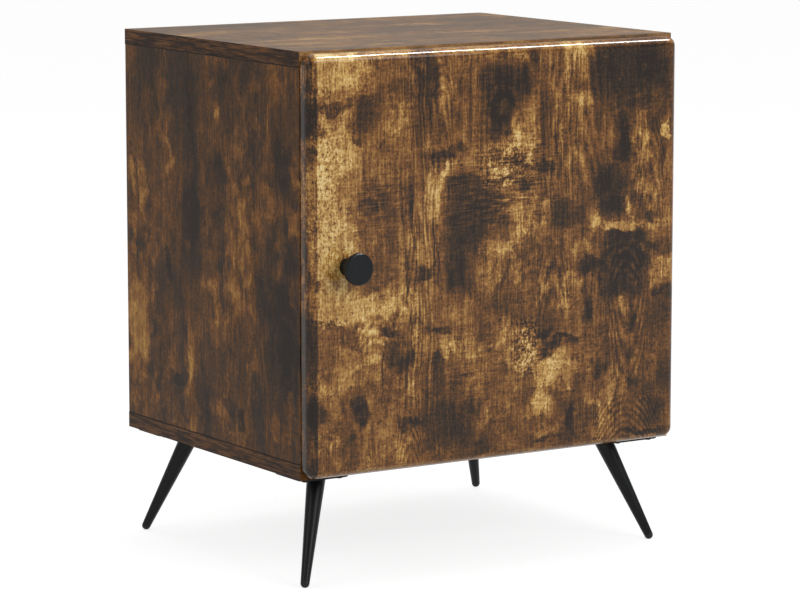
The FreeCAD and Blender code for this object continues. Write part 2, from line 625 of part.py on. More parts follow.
def foot_glide(corner):
    x, y, z, rotation = leg_frame(corner)
    dome = lean(place(doc.addObject("Part::Sphere", f"Dome_{corner}"), x, y, z, rotation))
    bind(dome, "Radius", "leg_tip_radius")
    dome.Angle2 = 0
    band = lean(place(doc.addObject("Part::Cone", f"GlideBand_{corner}"), x, y, z, rotation))
    bind(band, "Radius1", "leg_tip_radius")
    bind(band, "Radius2", tube_radius("glide_band"))
    bind(band, "Height", "glide_band")
    plug = lean(rod(f"Plug_{corner}", x, y, z,
                    f"{tube_radius('glide_band')} - leg_wall - fit_play", "glide_band + glide_plug",
                    rotation))
    whole = fuse(f"Glide_{corner}", [dome, band, plug])
    waste = block(f"GlideWaste_{corner}", f"{x} - 2 * leg_tip_radius", f"{y} - 2 * leg_tip_radius",
                  "-leg_tip_radius", "4 * leg_tip_radius", "4 * leg_tip_radius", "leg_tip_radius")
    return node(cut(f"GlideFlat_{corner}", whole, waste), f"{corner}_foot_glide")


def make_legs():
    for corner in CORNERS:
        leg_plate(corner)
        leg_tube(corner)
        foot_glide(corner)
        screws = []
        for number, hole in enumerate(PLATE_HOLES):
            x, y = plate_hole(corner, hole)
            screws.append(screw(f"LegScrew_{corner}_{number}", x, y, PLATE_UNDERSIDE, None,
                                "leg_screw_radius", "leg_screw_length"))
        node(group(f"LegScrews_{corner}", screws), f"{corner}_leg_screws")


# ---------------------------------------------------------------------------------------- the door
# One foil-wrapped board, rounded along all its front edges, with a square back edge, two cup recesses
# at the hinge edge and a screwed-on knob near the other.
def make_door():
    body = new_body("Door", f"{CARCASS_LEFT} + door_left_reveal", DOOR_BACK, DOOR_BOTTOM)
    outline = new_sketch(body, "DoorOutline", "XZ_Plane")
    draw_rectangle(outline, "0", "0", DOOR_WIDTH, DOOR_HEIGHT)
    pad(body, outline, "door_thickness")
    thickness = value("door_thickness")
    round_edges(body, "DoorCorners", lambda edge: edge.BoundBox.YLength > thickness / 2, "door_corner")
    round_edges(body, "DoorFront", lambda edge: edge.BoundBox.YMax < TOLERANCE - thickness,
                "door_rounding")
    cup_line = f"({DOOR_WIDTH} - cup_edge - cup_radius)"
    levels = ("hinge_end", f"({DOOR_HEIGHT} - hinge_end)")
    drill(body, "CupRecess", "XZ_Plane", "0", [(cup_line, level) for level in levels],
          "cup_radius + fit_play", "cup_depth + fit_play", True)
    screws = [(f"{cup_line} - flange_offset", f"{level} + {turn} * cup_screw_half")
              for level in levels for turn in (-1, 1)]
    drill(body, "CupScrewHoles", "XZ_Plane", "0", screws, "hinge_screw_radius + fit_play",
          "hinge_screw_length - rim_thickness", True)
    knob_hole = [("knob_across - door_left_reveal", f"{DOOR_HEIGHT} / 2")]
    drill(body, "KnobHole", "XZ_Plane", "0", knob_hole, "knob_screw_radius + fit_play",
          "door_thickness", True)
    node(body, "door_panel")


def make_knob():
    hole = "knob_screw_radius + fit_play"
    outline = [(hole, "0"), ("knob_base_radius", "0"), ("knob_base_radius", "knob_foot"),
               ("knob_neck_radius", "knob_neck"), ("knob_radius", "knob_projection - knob_rim"),
               ("knob_radius", "knob_projection"), ("0", "knob_projection"), ("0", "knob_screw_grip"),
               (hole, "knob_screw_grip")]
    x = f"{CARCASS_LEFT} + knob_across"
    knob = turned("Knob", outline, x, DOOR_FRONT, DOOR_MIDDLE, TO_FRONT)
    rim = value("knob_radius")
    round_edges(knob, "KnobRim", lambda edge: abs(edge.BoundBox.XMax - rim) < TOLERANCE
                and edge.BoundBox.ZLength < TOLERANCE, "knob_rounding")
    node(knob, "knob")
    bolt = screw("KnobScrew", x, DOOR_BACK, DOOR_MIDDLE, TO_FRONT, "knob_screw_radius",
                 "(door_thickness + knob_screw_grip)")
    node(bolt, "knob_screw")


def make_bumpers():
    """Soft stops that meet the front edge of the left side board when the door is shut."""
    x = f"{CARCASS_LEFT} + edge_band + board / 2"
    stops = [rod(f"Bumper_{number}", x, DOOR_BACK, z, "bumper_radius", "door_gap - bumper_play", TO_BACK)
             for number, z in enumerate((f"{DOOR_BOTTOM} + bumper_end",
                                         f"{DOOR_BOTTOM} + {DOOR_HEIGHT} - bumper_end"))]
    node(group("Bumpers", stops), "door_bumpers")


# -------------------------------------------------------------------------------------- the hinges
# Concealed cup hinges. The arm is screwed to a plate on the side board, the cup is let into the door,
# and two cranked links join them on four pins: the outer link's cheeks run outside the arm, the inner
# link runs between its cheeks. The inner link's eye in the cup is wide, since that pivot is left open;
# the outer link turns on a rivet at each ear of the cup, so nothing crosses the wide eye's way.
# Everything is drawn from above in the hinge's own frame: X in from the right side of the box, Y out
# from its front, Z from the middle of the hinge.
ARM_BACK = f"({INNER_FACE} + arm_top)"
PIN_HOLE = "(hinge_pin_radius + fit_play)"
LONG_PIN = "(outer_end + 2 * fit_play)"
SHORT_PIN = "(cheek_end + 2 * fit_play)"
LOOSE_EYE = (f"{CUP_INNER[0]} - loose_eye_across", f"{CUP_INNER[1]} + loose_eye_deep")
OUTER_PATH = (CUP_OUTER,
              (f"{CUP_OUTER[0]} + outer_heel_across", f"{CUP_OUTER[1]} + outer_heel_deep"),
              (f"{CUP_OUTER[0]} + outer_crest_across", f"{CUP_OUTER[1]} + outer_crest_deep"),
              (f"{CUP_OUTER[0]} + outer_knee_across", f"{CUP_OUTER[1]} - outer_knee_out"),
              ARM_OUTER)
INNER_PATH = (LOOSE_EYE,
              (f"{CUP_INNER[0]} + inner_heel_across", f"{CUP_INNER[1]} + inner_heel_deep"),
              (f"{CUP_INNER[0]} + inner_crest_across", f"{CUP_INNER[1]} + inner_crest_deep"),
              (f"{CUP_INNER[0]} + inner_knee_across", f"{CUP_INNER[1]} + inner_heel_deep"),
              ARM_INNER)
SPACER = (f"{ARM_OUTER[0]} - spacer_across", f"{ARM_OUTER[1]} + spacer_deep")
ARM_SCREW_ROWS = ("-(mount_line + arm_screw_back)", "-(mount_line - arm_screw_front)")


def seen_from_above(point):
    """Hinge-frame point as expressions for X and Y in the table's frame."""
    return f"(carcass_width / 2 - ({point[0]}))", f"({CARCASS_FRONT} - ({point[1]}))"


def upright_rod(name, point, level, low, high, radius):
    x, y = seen_from_above(point)
    return rod(name, x, y, f"{level} + {low}", radius, f"{high} - {low}")


def crank(name, path, level, low, high):
    """A bar of even thickness bent along a path, with round ends, between two heights."""
    line = doc.addObject("Sketcher::SketchObject", name + "Line")
    x, y = seen_from_above(("0", "0"))
    place(line, x, y, f"{level} + {low}", HALF_TURN)
    draw_path(line, path, closed=False)
    doc.recompute()
    band = doc.addObject("Part::Offset2D", name + "Band")
    band.Source = line
    bind(band, "Value", "link_thickness / 2")
    bar = doc.addObject("Part::Extrusion", name + "Bar")
    bar.Base = band
    bar.DirMode = "Custom"
    bar.Dir = Z_AXIS
    bar.Solid = True
    bind(bar, "LengthFwd", f"{high} - {low}")
    return bar


def outer_link(name, level):
    pieces = []
    for side, low, high in (("Over", "outer_start", "outer_end"), ("Under", "-outer_end", "-outer_start")):
        pieces.append(crank(name + side, OUTER_PATH, level, low, high))
        for pin, point in (("Cup", CUP_OUTER), ("Arm", ARM_OUTER)):
            pieces.append(upright_rod(name + side + pin, point, level, low, high, "eye_radius"))
    pieces.append(upright_rod(name + "Spacer", SPACER, level, "-outer_end", "outer_end",
                              "link_thickness / 2"))
    holes = [upright_rod(name + pin + "Hole", point, level, "-2 * outer_end", "2 * outer_end", PIN_HOLE)
             for pin, point in (("Cup", CUP_OUTER), ("Arm", ARM_OUTER))]
    return cut(name, fuse(name + "Whole", pieces), fuse(name + "Holes", holes))


def inner_link(name, level):
    bar = crank(name, INNER_PATH, level, "-inner_half", "inner_half")
    loose_hole = "(hinge_pin_radius + open_pivot_play)"
    eyes = [upright_rod(name + "CupEye", LOOSE_EYE, level, "-inner_half", "inner_half",
                        f"{loose_hole} + eye_radius - hinge_pin_radius"),
            upright_rod(name + "ArmEye", ARM_INNER, level, "-inner_half", "inner_half", "eye_radius")]
    holes = [upright_rod(name + "CupHole", LOOSE_EYE, level, "-2 * inner_half", "2 * inner_half",
                         loose_hole),
             upright_rod(name + "ArmHole", ARM_INNER, level, "-2 * inner_half", "2 * inner_half",
                         PIN_HOLE)]
    return cut(name + "Link", fuse(name + "Whole", [bar] + eyes), fuse(name + "Holes", holes))


def hinge_arm(name, level):
    x, y = seen_from_above(("0", "0"))
    body = new_body(name, x, y, level, HALF_TURN)
    side = new_sketch(body, name + "Side", "XY_Plane", "-cheek_end")
    skirt = f"({ARM_BACK} - arm_skirt)"
    neck = f"({ARM_BACK} - arm_neck)"
    inner_x, inner_y = ARM_INNER
    outer_x, outer_y = ARM_OUTER
    draw_path(side, [(skirt, "-arm_length"), (ARM_BACK, "-arm_length"), (ARM_BACK, f"{inner_y} - arm_eye"),
                     (f"{inner_x} + arm_eye", f"{inner_y} + arm_eye / 2"),
                     (f"{inner_x} + arm_eye / 2", f"{inner_y} + arm_eye"),
                     (f"{inner_x} - arm_eye / 2", f"{inner_y} + arm_eye"),
                     (f"{inner_x} - arm_eye", f"{inner_y} + arm_eye / 2"),
                     (f"{inner_x} - arm_eye", f"{inner_y} - arm_eye / 2"),
                     (neck, f"{inner_y} - arm_eye * 1.6"), (neck, f"{outer_y} + arm_eye * 2"),
                     (f"{outer_x} - arm_eye", f"{outer_y} + arm_eye"), (skirt, f"{outer_y} - arm_eye * 2")])
    pad(body, side, "2 * cheek_end")
    channel = new_sketch(body, name + "Channel", "XY_Plane", "-cheek_start")
    web = f"({ARM_BACK} - arm_sheet)"
    draw_path(channel, [(f"{skirt} - arm_sheet", "-arm_length - arm_sheet"),
                        (web, "-arm_length - arm_sheet"), (web, "-arm_web_end"),
                        (f"{ARM_BACK} + arm_sheet", "-arm_web_end"),
                        (f"{ARM_BACK} + arm_sheet", "2 * cup_depth"),
                        (f"{skirt} - arm_sheet", "2 * cup_depth")])
    pocket(body, channel, "2 * cheek_start", True)
    tools = [upright_rod(name + "OuterHole", ARM_OUTER, level, "-2 * outer_end", "2 * outer_end", PIN_HOLE),
             upright_rod(name + "InnerHole", ARM_INNER, level, "-2 * outer_end", "2 * outer_end", PIN_HOLE)]
    tools += arm_screw_holes(name, level)
    return cut(name + "Arm", body, fuse(name + "ArmHoles", tools))


def arm_screw_point(row):
    return seen_from_above((ARM_BACK, row))


def arm_screw_holes(name, level):
    holes = []
    for number, row in enumerate(ARM_SCREW_ROWS):
        x, y = arm_screw_point(row)
        holes.append(rod(f"{name}ScrewHole{number}", f"{x} - arm_sheet", y, level,
                         "hinge_screw_radius + fit_play", "hinge_screw_length + 2 * arm_sheet", TO_RIGHT))
    return holes


def hinge_cup(name, level):
    x, y = seen_from_above((CUP_CENTRE, "door_gap"))
    wall = "(cup_radius - cup_wall)"
    floor = "(cup_depth - cup_wall)"
    body = turned(name, [("0", "cup_depth"), ("cup_radius", "cup_depth"), ("cup_radius", "0"),
                         ("cup_radius + rim_width", "0"), ("cup_radius + rim_width", "-rim_thickness"),
                         (wall, "-rim_thickness"), (wall, floor), ("0", floor)], x, y, level, TO_FRONT)
    wings = new_sketch(body, name + "Wings", "XY_Plane", "-rim_thickness")
    draw_rectangle(wings, "-flange_offset - flange_across / 2", "-flange_half",
                   "-flange_offset + flange_across / 2", "flange_half")
    pad(body, wings, "rim_thickness")
    drill(body, name + "Mouth", "XY_Plane", "-rim_thickness", [("0", "0")], wall, "rim_thickness", True)
    drill(body, name + "WingHoles", "XY_Plane", "-rim_thickness",
          [("-flange_offset", f"{turn} * cup_screw_half") for turn in (-1, 1)],
          "hinge_screw_radius + 2 * fit_play", "rim_thickness", True)
    ear_wall = "(cup_radius - cup_wall / 2 - eye_radius / 2)"
    inner_x = "(cup_edge + cup_radius - inner_cup_across)"
    outer_x = "(cup_edge + cup_radius - outer_cup_across)"
    for side, start in (("Over", "-cheek_end"), ("Under", "cheek_start")):
        ear = new_sketch(body, name + "Ear" + side, "XZ_Plane", start)
        draw_path(ear, [(ear_wall, "outer_cup_deep - eye_radius"),
                        (f"{outer_x} - eye_radius / 2", "outer_cup_deep - eye_radius"),
                        (f"{inner_x} - eye_radius", "inner_cup_deep - eye_radius"),
                        (f"{inner_x} - eye_radius", f"{floor} + cup_wall / 2"),
                        (ear_wall, f"{floor} + cup_wall / 2")])
        pad(body, ear, "cheek_end - cheek_start")
    tools = [upright_rod(name + "OuterHole", CUP_OUTER, level, "-cheek_end", "cheek_end", PIN_HOLE),
             upright_rod(name + "InnerHole", CUP_INNER, level, "-cheek_end", "cheek_end", PIN_HOLE)]
    return cut(name + "Cup", body, fuse(name + "CupHoles", tools))


def mounting_plate(name, level):
    """Winged plate on the side board; the arm's channel drops over its boss and is screwed to it."""
    x, y = seen_from_above(("0", "0"))
    body = new_body(name, x, y, level, HALF_TURN)
    wings = new_sketch(body, name + "Wings", "XY_Plane", "-mount_half - mount_wing")
    draw_rectangle(wings, INNER_FACE, "-mount_line - mount_wing", f"{INNER_FACE} + mount_base",
                   "-mount_line + mount_wing")
    pad(body, wings, "2 * (mount_half + mount_wing)")
    boss = new_sketch(body, name + "Boss", "XY_Plane", "-inner_half")
    draw_rectangle(boss, INNER_FACE, "-arm_length + arm_sheet", f"{ARM_BACK} - arm_sheet",
                   "-mount_line + mount_boss")
    pad(body, boss, "2 * inner_half")
    tools = arm_screw_holes(name, level)
    for number, turn in enumerate((-1, 1)):
        px, py = seen_from_above((f"{INNER_FACE} + 2 * mount_base", "-mount_line"))
        tools.append(rod(f"{name}Hole{number}", px, py, f"{level} + {turn} * mount_half",
                         "hinge_screw_radius + 2 * fit_play", "3 * mount_base", TO_RIGHT))
    return cut(name + "Plate", body, fuse(name + "PlateHoles", tools))


def hinge_screw(name, x, y, z, rotation):
    return screw(name, x, y, z, rotation, "hinge_screw_radius", "hinge_screw_length")


def make_hinge(place_name, level):
    name = place_name.capitalize() + "Hinge"
    label = place_name + "_hinge_"
    node(hinge_cup(name + "Cup", level), label + "cup")
    node(hinge_arm(name + "Arm", level), label + "arm")
    node(outer_link(name + "Outer", level), label + "outer_link")
    node(inner_link(name + "Inner", level), label + "inner_link")
    node(mounting_plate(name + "Mount", level), label + "mounting_plate")
    rivet_over = upright_rod(name + "RivetOver", CUP_OUTER, level, "cheek_start", LONG_PIN,
                             "hinge_pin_radius")
    rivet_under = upright_rod(name + "RivetUnder", CUP_OUTER, level, f"-{LONG_PIN}", "-cheek_start",
                              "hinge_pin_radius")
    short_cup = upright_rod(name + "CupPinShort", CUP_INNER, level, f"-{SHORT_PIN}", SHORT_PIN,
                            "hinge_pin_radius")
    node(group(name + "CupPins", [rivet_over, rivet_under, short_cup]), label + "cup_pins")
    long_arm = upright_rod(name + "ArmPinLong", ARM_OUTER, level, f"-{LONG_PIN}", LONG_PIN,
                           "hinge_pin_radius")
    short_arm = upright_rod(name + "ArmPinShort", ARM_INNER, level, f"-{SHORT_PIN}", SHORT_PIN,
                            "hinge_pin_radius")
    node(group(name + "ArmPins", [long_arm, short_arm]), label + "arm_pins")
    cup_x, cup_y = seen_from_above((f"{CUP_CENTRE} + flange_offset", "door_gap - rim_thickness"))
    mount_x, mount_y = seen_from_above((f"{INNER_FACE} + mount_base", "-mount_line"))
    cup_screws = []
    plate_screws = []
    for number, turn in enumerate((-1, 1)):
        cup_screws.append(hinge_screw(f"{name}CupScrew{number}", cup_x, cup_y,
                                      f"{level} + {turn} * cup_screw_half", TO_FRONT))
        plate_screws.append(hinge_screw(f"{name}PlateScrew{number}", mount_x, mount_y,
                                        f"{level} + {turn} * mount_half", TO_RIGHT))
    node(group(name + "CupScrews", cup_screws), label + "cup_screws")
    node(group(name + "PlateScrews", plate_screws), label + "plate_screws")
    arm_screws = []
    for number, row in enumerate(ARM_SCREW_ROWS):
        x, y = arm_screw_point(row)
        arm_screws.append(hinge_screw(f"{name}ArmScrew{number}", x, y, level, TO_RIGHT))
    node(group(name + "ArmScrews", arm_screws), label + "arm_screws")


# ---------------------------------------------------------------------------- build, check and write
make_box()
make_edge_bands()
make_shelf_pins()
make_box_joints()
make_legs()
make_door()
make_knob()
make_bumpers()
for hinge, hinge_level in HINGES.items():
    make_hinge(hinge, hinge_level)
doc.recompute()

for thing in doc.Objects:
    if "Invalid" in thing.State or "Error" in thing.State:
        raise RuntimeError(f"{thing.Label} did not compute: {thing.State}")
for thing in nodes:
    if thing.Shape.isNull() or not thing.Shape.isValid() or not thing.Shape.Solids:
        raise RuntimeError(f"{thing.Label} has no valid solid")

os.makedirs("parts", exist_ok=True)
for thing in nodes:
    thing.Shape.exportStep(f"parts/{thing.Label}.step")
print(len(nodes), "sub-parts written")
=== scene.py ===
import math

import bpy
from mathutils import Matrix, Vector

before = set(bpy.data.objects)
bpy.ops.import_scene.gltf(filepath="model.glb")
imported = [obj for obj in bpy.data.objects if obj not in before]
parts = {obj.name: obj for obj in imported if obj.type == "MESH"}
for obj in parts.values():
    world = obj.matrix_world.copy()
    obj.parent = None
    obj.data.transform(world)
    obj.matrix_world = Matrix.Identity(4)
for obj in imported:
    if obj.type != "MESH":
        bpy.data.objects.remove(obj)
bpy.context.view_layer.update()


# ---------------------------------------------------------------------------------- boards of the box
# Top, bottom, sides and shelf are 15 mm chipboard under a satin paper laminate printed as old, smoked
# timber: dark smoke over warm brown, with the grain upright on the sides and from side to side on the
# top, the bottom and the shelf.
CHAR = (0.015, 0.007, 0.003)
SMOKE = (0.042, 0.021, 0.009)
TOFFEE = (0.116, 0.047, 0.011)
AMBER = (0.275, 0.110, 0.025)
GOLD = (0.505, 0.258, 0.064)
STRAW = (0.800, 0.500, 0.150)
CREAM = (0.960, 0.740, 0.350)
# Grey of the painted reflection of the pale room on the top board.
REFLECTED_GREY = (0.165, 0.145, 0.097)
RUST = (0.225, 0.085, 0.020)
COPPER = (0.400, 0.190, 0.048)
# Faces of boards as (axis across the grain, axis along the grain).
FRONT_FACE = (0, 2)
SIDE_FACE = (1, 2)
LEVEL_FACE = (1, 0)


def corners(name):
    """Lowest and highest corner of a CAD node."""
    box = parts[name].bound_box
    return box[0], box[6]


SIDE_LOW, SIDE_HIGH = corners("left_side_panel")
BOX_FRONT = SIDE_LOW[1]
# The cut front edges of the boards take the light, and show a little paler than the faces.
EDGE_DEPTH = 0.0004
EDGE_PALENESS = 0.16


class Finish:
    """A surface finish being made: one shader, and the patterns that feed it."""

    def __init__(self, name, roughness, metallic=0.0, specular=0.5):
        self.material = bpy.data.materials.new(name)
        self.material.use_nodes = True
        self.tree = self.material.node_tree
        self.shader = self.tree.nodes["Principled BSDF"]
        self.set("Roughness", roughness)
        self.set("Metallic", metallic)
        self.set("Specular IOR Level", specular)
        self.place = self.add("ShaderNodeTexCoord").outputs["Object"]

    def set(self, socket, value):
        """Sets a socket of the shader, or joins a pattern to it."""
        self.join(self.shader.inputs[socket], value)

    def join(self, socket, value):
        if isinstance(value, bpy.types.NodeSocket):
            self.tree.links.new(value, socket)
        elif isinstance(value, tuple) and len(value) == 3 and socket.type == "RGBA":
            socket.default_value = (*value, 1)
        else:
            socket.default_value = value

    def add(self, kind, inputs=None, **settings):
        node = self.tree.nodes.new(kind)
        for name, value in settings.items():
            setattr(node, name, value)
        for name, value in (inputs or {}).items():
            self.join(node.inputs[name], value)
        return node

    def math(self, operation, first, second=0.0, third=0.0):
        return self.add("ShaderNodeMath", {0: first, 1: second, 2: third}, operation=operation).outputs[0]

    def vector(self, operation, first, second):
        return self.add("ShaderNodeVectorMath", {0: first, 1: second}, operation=operation).outputs[0]

    def noise(self, place, stretch, detail=4.0, roughness=0.55, seed=0.0):
        """Cloudy pattern; stretch is how many clouds go to a metre along X, Y and Z."""
        spread = self.vector("MULTIPLY", place, stretch)
        shifted = self.vector("ADD", spread, (seed, seed * 1.7, seed * 2.3))
        return self.add("ShaderNodeTexNoise", {"Vector": shifted, "Scale": 1.0, "Detail": detail,
                                               "Roughness": roughness}).outputs["Fac"]

    def between(self, value, low, high, to_low=0.0, to_high=1.0):
        """Eases a value from one range into another."""
        return self.add("ShaderNodeMapRange",
                        {"Value": value, "From Min": low, "From Max": high, "To Min": to_low,
                         "To Max": to_high}, interpolation_type="SMOOTHSTEP").outputs["Result"]

    def ramp(self, value, stops):
        """Colours spread along a value, given as (place, colour)."""
        node = self.add("ShaderNodeValToRGB", {"Fac": value})
        bar = node.color_ramp.elements
        while len(bar) < len(stops):
            bar.new(1.0)
        for element, (place, colour) in zip(bar, stops):
            element.position = place
            element.color = (*colour, 1)
        return node.outputs["Color"]

    def mix(self, share, first, second):
        """Colour between two colours."""
        node = self.add("ShaderNodeMix", data_type="RGBA")
        for socket, value in zip((0, 6, 7), (share, first, second)):
            self.join(node.inputs[socket], value)
        return node.outputs[2]

    def total(self, *terms):
        """Sum of patterns, each given as (0-to-1 pattern, how far it pushes either way)."""
        amount = 0.0
        for pattern, swing in terms:
            amount = self.math("MULTIPLY_ADD", pattern, 2.0 * swing, self.math("ADD", amount, -swing))
        return amount

    def relief(self, height, distance, strength=1.0):
        bump = self.add("ShaderNodeBump", {"Height": height, "Distance": distance, "Strength": strength})
        self.set("Normal", bump.outputs["Normal"])

    def cover(self, *names):
        """Puts the finish on CAD nodes."""
        for name in names:
            for slot in parts[name].material_slots:
                slot.material = self.material


class TimberPrint:
    """The printed old timber of one face: smoke, glow, saw marks, year rings and fibres."""

    def __init__(self, finish, face, seed):
        self.finish = finish
        self.across, self.lengthwise = face
        self.seed = seed
        push = finish.total((self.noise(finish.place, 45, 30, 5, 2.2), 0.020))
        lift = finish.total((self.noise(finish.place, 36, 45, 5, 14.2), 0.020))
        roll = finish.total((self.noise(finish.place, 9, 7, 3, 21.0), 0.014))
        self.torn = finish.vector("ADD", finish.place, self.shift(push, lift))
        self.rolled = finish.vector("ADD", finish.place, self.shift(roll, 0.0))
        self.clouds = self.noise(self.torn, 20, 13, 8, 8.8)
        self.curls = self.noise(self.torn, 85, 60, 7, 31.0)
        self.crumbs = self.noise(finish.place, 470, 400, 4, 9.9)
        self.fibres = self.noise(finish.place, 1000, 42, 3, 1.4)
        self.sinews = self.noise(self.rolled, 330, 8, 4, 4.4)
        self.saws = self.noise(finish.place, 55, 620, 3, 3.3)
        self.ragged = finish.total((self.clouds, 0.42), (self.curls, 0.85), (self.fibres, 0.16))

    def along(self, across, lengthwise):
        return tuple(lengthwise if axis == self.lengthwise else across for axis in range(3))

    def noise(self, place, across, lengthwise, detail, seed):
        return self.finish.noise(place, self.along(across, lengthwise), detail, 0.62, self.seed + seed)

    def shift(self, across, lengthwise):
        node = self.finish.add("ShaderNodeCombineXYZ")
        self.finish.join(node.inputs[self.across], across)
        self.finish.join(node.inputs[self.lengthwise], lengthwise)
        return node.outputs[0]

    def spot(self, across, lengthwise, rest):
        """Millimetres on the face as a point or a size in space."""
        point = [rest] * 3
        point[self.across] = across / 1000
        point[self.lengthwise] = lengthwise / 1000
        return tuple(point)

    def away(self, place, across, lengthwise, width, length):
        """How far a place is from a spot, in half sizes along each axis."""
        apart = self.finish.vector("SUBTRACT", place, self.spot(across, lengthwise, 0.0))
        return self.finish.vector("DIVIDE", apart, self.spot(width, length, 1.0))

    def patches(self, marks):
        """Blocky hills, given as (across, lengthwise, half width, half length, height)."""
        finish = self.finish
        highest = 0.0
        for across, lengthwise, width, length, height in marks:
            away = self.away(self.torn, across, lengthwise, width, length)
            reach = finish.add("ShaderNodeVectorMath", {0: finish.vector("MULTIPLY", away, away)},
                               operation="LENGTH").outputs["Value"]
            hill = finish.math("MULTIPLY_ADD", reach, -height / 2.4, height)
            highest = finish.math("MAXIMUM", highest, hill)
        return highest

    def stain(self, marks, low, high):
        """Patches with ragged edges; low and high say how softly they set in."""
        return self.finish.between(self.finish.math("ADD", self.patches(marks), self.ragged), low, high)

    def rings(self, arches, closed=False):
        """Year rings, arched or closed, given as (across, lengthwise, half width, half length, tightness)."""
        finish = self.finish
        lines = 0.0
        for across, lengthwise, width, length, tightness in arches:
            away = self.away(self.rolled, across, lengthwise, width, length)
            apart = finish.add("ShaderNodeSeparateXYZ", {0: away}).outputs
            aside, up = apart[self.across], apart[self.lengthwise]
            if closed:
                reach = finish.add("ShaderNodeVectorMath", {0: away}, operation="LENGTH").outputs["Value"]
            else:
                reach = finish.math("MULTIPLY_ADD", finish.math("MULTIPLY", aside, aside), 2.0, up)
            wave = finish.math("SINE", finish.math("MULTIPLY_ADD", reach, tightness,
                                                   finish.total((self.sinews, 1.6))))
            edge = finish.math("MAXIMUM", finish.math("ABSOLUTE", aside), finish.math("ABSOLUTE", up))
            lines = finish.math("MULTIPLY_ADD", wave, finish.between(edge, 1.15, 0.70, 0.0, 0.12), lines)
        return lines

    def cracks(self, marks):
        """Dark lines along the grain, given as (across, lengthwise, half length)."""
        finish = self.finish
        wander = finish.total((self.noise(finish.place, 8, 60, 3, 5.5), 0.0035))
        wandered = finish.vector("ADD", finish.place, self.shift(wander, 0.0))
        flat = finish.add("ShaderNodeSeparateXYZ", {0: wandered}).outputs
        depth = 0.0
        for across, lengthwise, length in marks:
            aside = finish.math("ABSOLUTE", finish.math("SUBTRACT", flat[self.across], across / 1000))
            up = finish.math("ABSOLUTE", finish.math("SUBTRACT", flat[self.lengthwise], lengthwise / 1000))
            line = finish.math("MULTIPLY", finish.between(aside, 0.0011, 0.0),
                               finish.between(up, length / 1000, length / 1400))
            depth = finish.math("MAXIMUM", depth, line)
        return depth

    def colour(self, tone):
        """Browns from char to cream, here and there a little redder."""
        finish = self.finish
        tone = finish.math("MULTIPLY", tone, 0.8)
        brown = finish.ramp(tone, [(0.0, CHAR), (0.14, SMOKE), (0.30, TOFFEE), (0.46, AMBER), (0.64, GOLD),
                                   (0.80, STRAW), (1.0, CREAM)])
        red = finish.ramp(tone, [(0.0, CHAR), (0.14, SMOKE), (0.30, TOFFEE), (0.46, RUST), (0.64, COPPER),
                                 (0.80, GOLD), (1.0, STRAW)])
        where = finish.between(self.noise(finish.place, 26, 20, 5, 47.0), 0.42, 0.66, 0.0, 0.85)
        return finish.mix(where, brown, red)


def satin_laminate(name, face, seed, depth, smoke=(), glow=(), painted_reflection=0.0):
    """Board finish; depth lightens or darkens the whole print; the last amount greys it with a painted
    reflection.
    """
    finish = Finish(name, 0.42, specular=0.12)
    timber = TimberPrint(finish, face, seed)
    columns = timber.noise(timber.torn, 34, 3.5, 5, 12.0)
    tone = finish.math("ADD", depth, finish.total(
        (timber.clouds, 0.42), (columns, 0.50), (timber.curls, 0.34), (timber.fibres, 0.28),
        (timber.sinews, 0.30), (timber.crumbs, 0.32)))
    tone = finish.math("MULTIPLY_ADD", timber.stain(smoke, 0.20, 0.70), -0.26, tone)
    tone = finish.math("MULTIPLY_ADD", timber.stain(glow, 0.05, 0.85), 0.24, tone)
    front = finish.add("ShaderNodeSeparateXYZ", {0: finish.place}).outputs[1]
    paleness = finish.between(front, BOX_FRONT, BOX_FRONT + EDGE_DEPTH, EDGE_PALENESS, 0.0)
    colour = timber.colour(finish.math("ADD", tone, paleness))
    # Painted reflection: a grey veil for the pale room that the face mirrors at a grazing view.
    if painted_reflection:
        reflection_share = finish.between(timber.clouds, 0.3, 0.7, 1.25 * painted_reflection, 0.75 * painted_reflection)
        colour = finish.mix(reflection_share, colour, REFLECTED_GREY)
    finish.set("Base Color", colour)
    finish.set("Roughness", finish.between(timber.sinews, 0.3, 0.7, 0.36, 0.48))
    finish.relief(timber.fibres, 0.00006, 0.5)
    return finish


# Smoke and glow on the left side as (across, up, half width, half height, strength), in millimetres.
LEFT_SMOKE = [
    (60, 430, 24, 60, 0.55), (62, 320, 20, 50, 0.55), (165, 430, 16, 30, 0.50), (150, 470, 30, 20, 0.40),
    (102, 276, 6, 14, 0.80), (110, 245, 12, 28, 0.45), (80, 255, 14, 22, 0.50), (143, 168, 10, 8, 0.85),
    (86, 171, 13, 7, 0.85), (12, 382, 16, 10, 0.62), (12, 338, 11, 5, 0.60), (4, 464, 20, 14, 0.45),
    (-108, 266, 34, 20, 0.85), (-130, 228, 18, 50, 0.80), (-98, 222, 9, 50, 0.55), (-118, 385, 13, 22, 0.70),
    (-106, 425, 12, 30, 0.55), (-130, 308, 14, 20, 0.60), (-45, 470, 7, 13, 0.55), (-36, 143, 7, 9, 0.85),
    (-8, 152, 5, 7, 0.55), (30, 440, 14, 30, 0.42), (-75, 165, 10, 24, 0.45), (40, 165, 14, 14, 0.35),
]
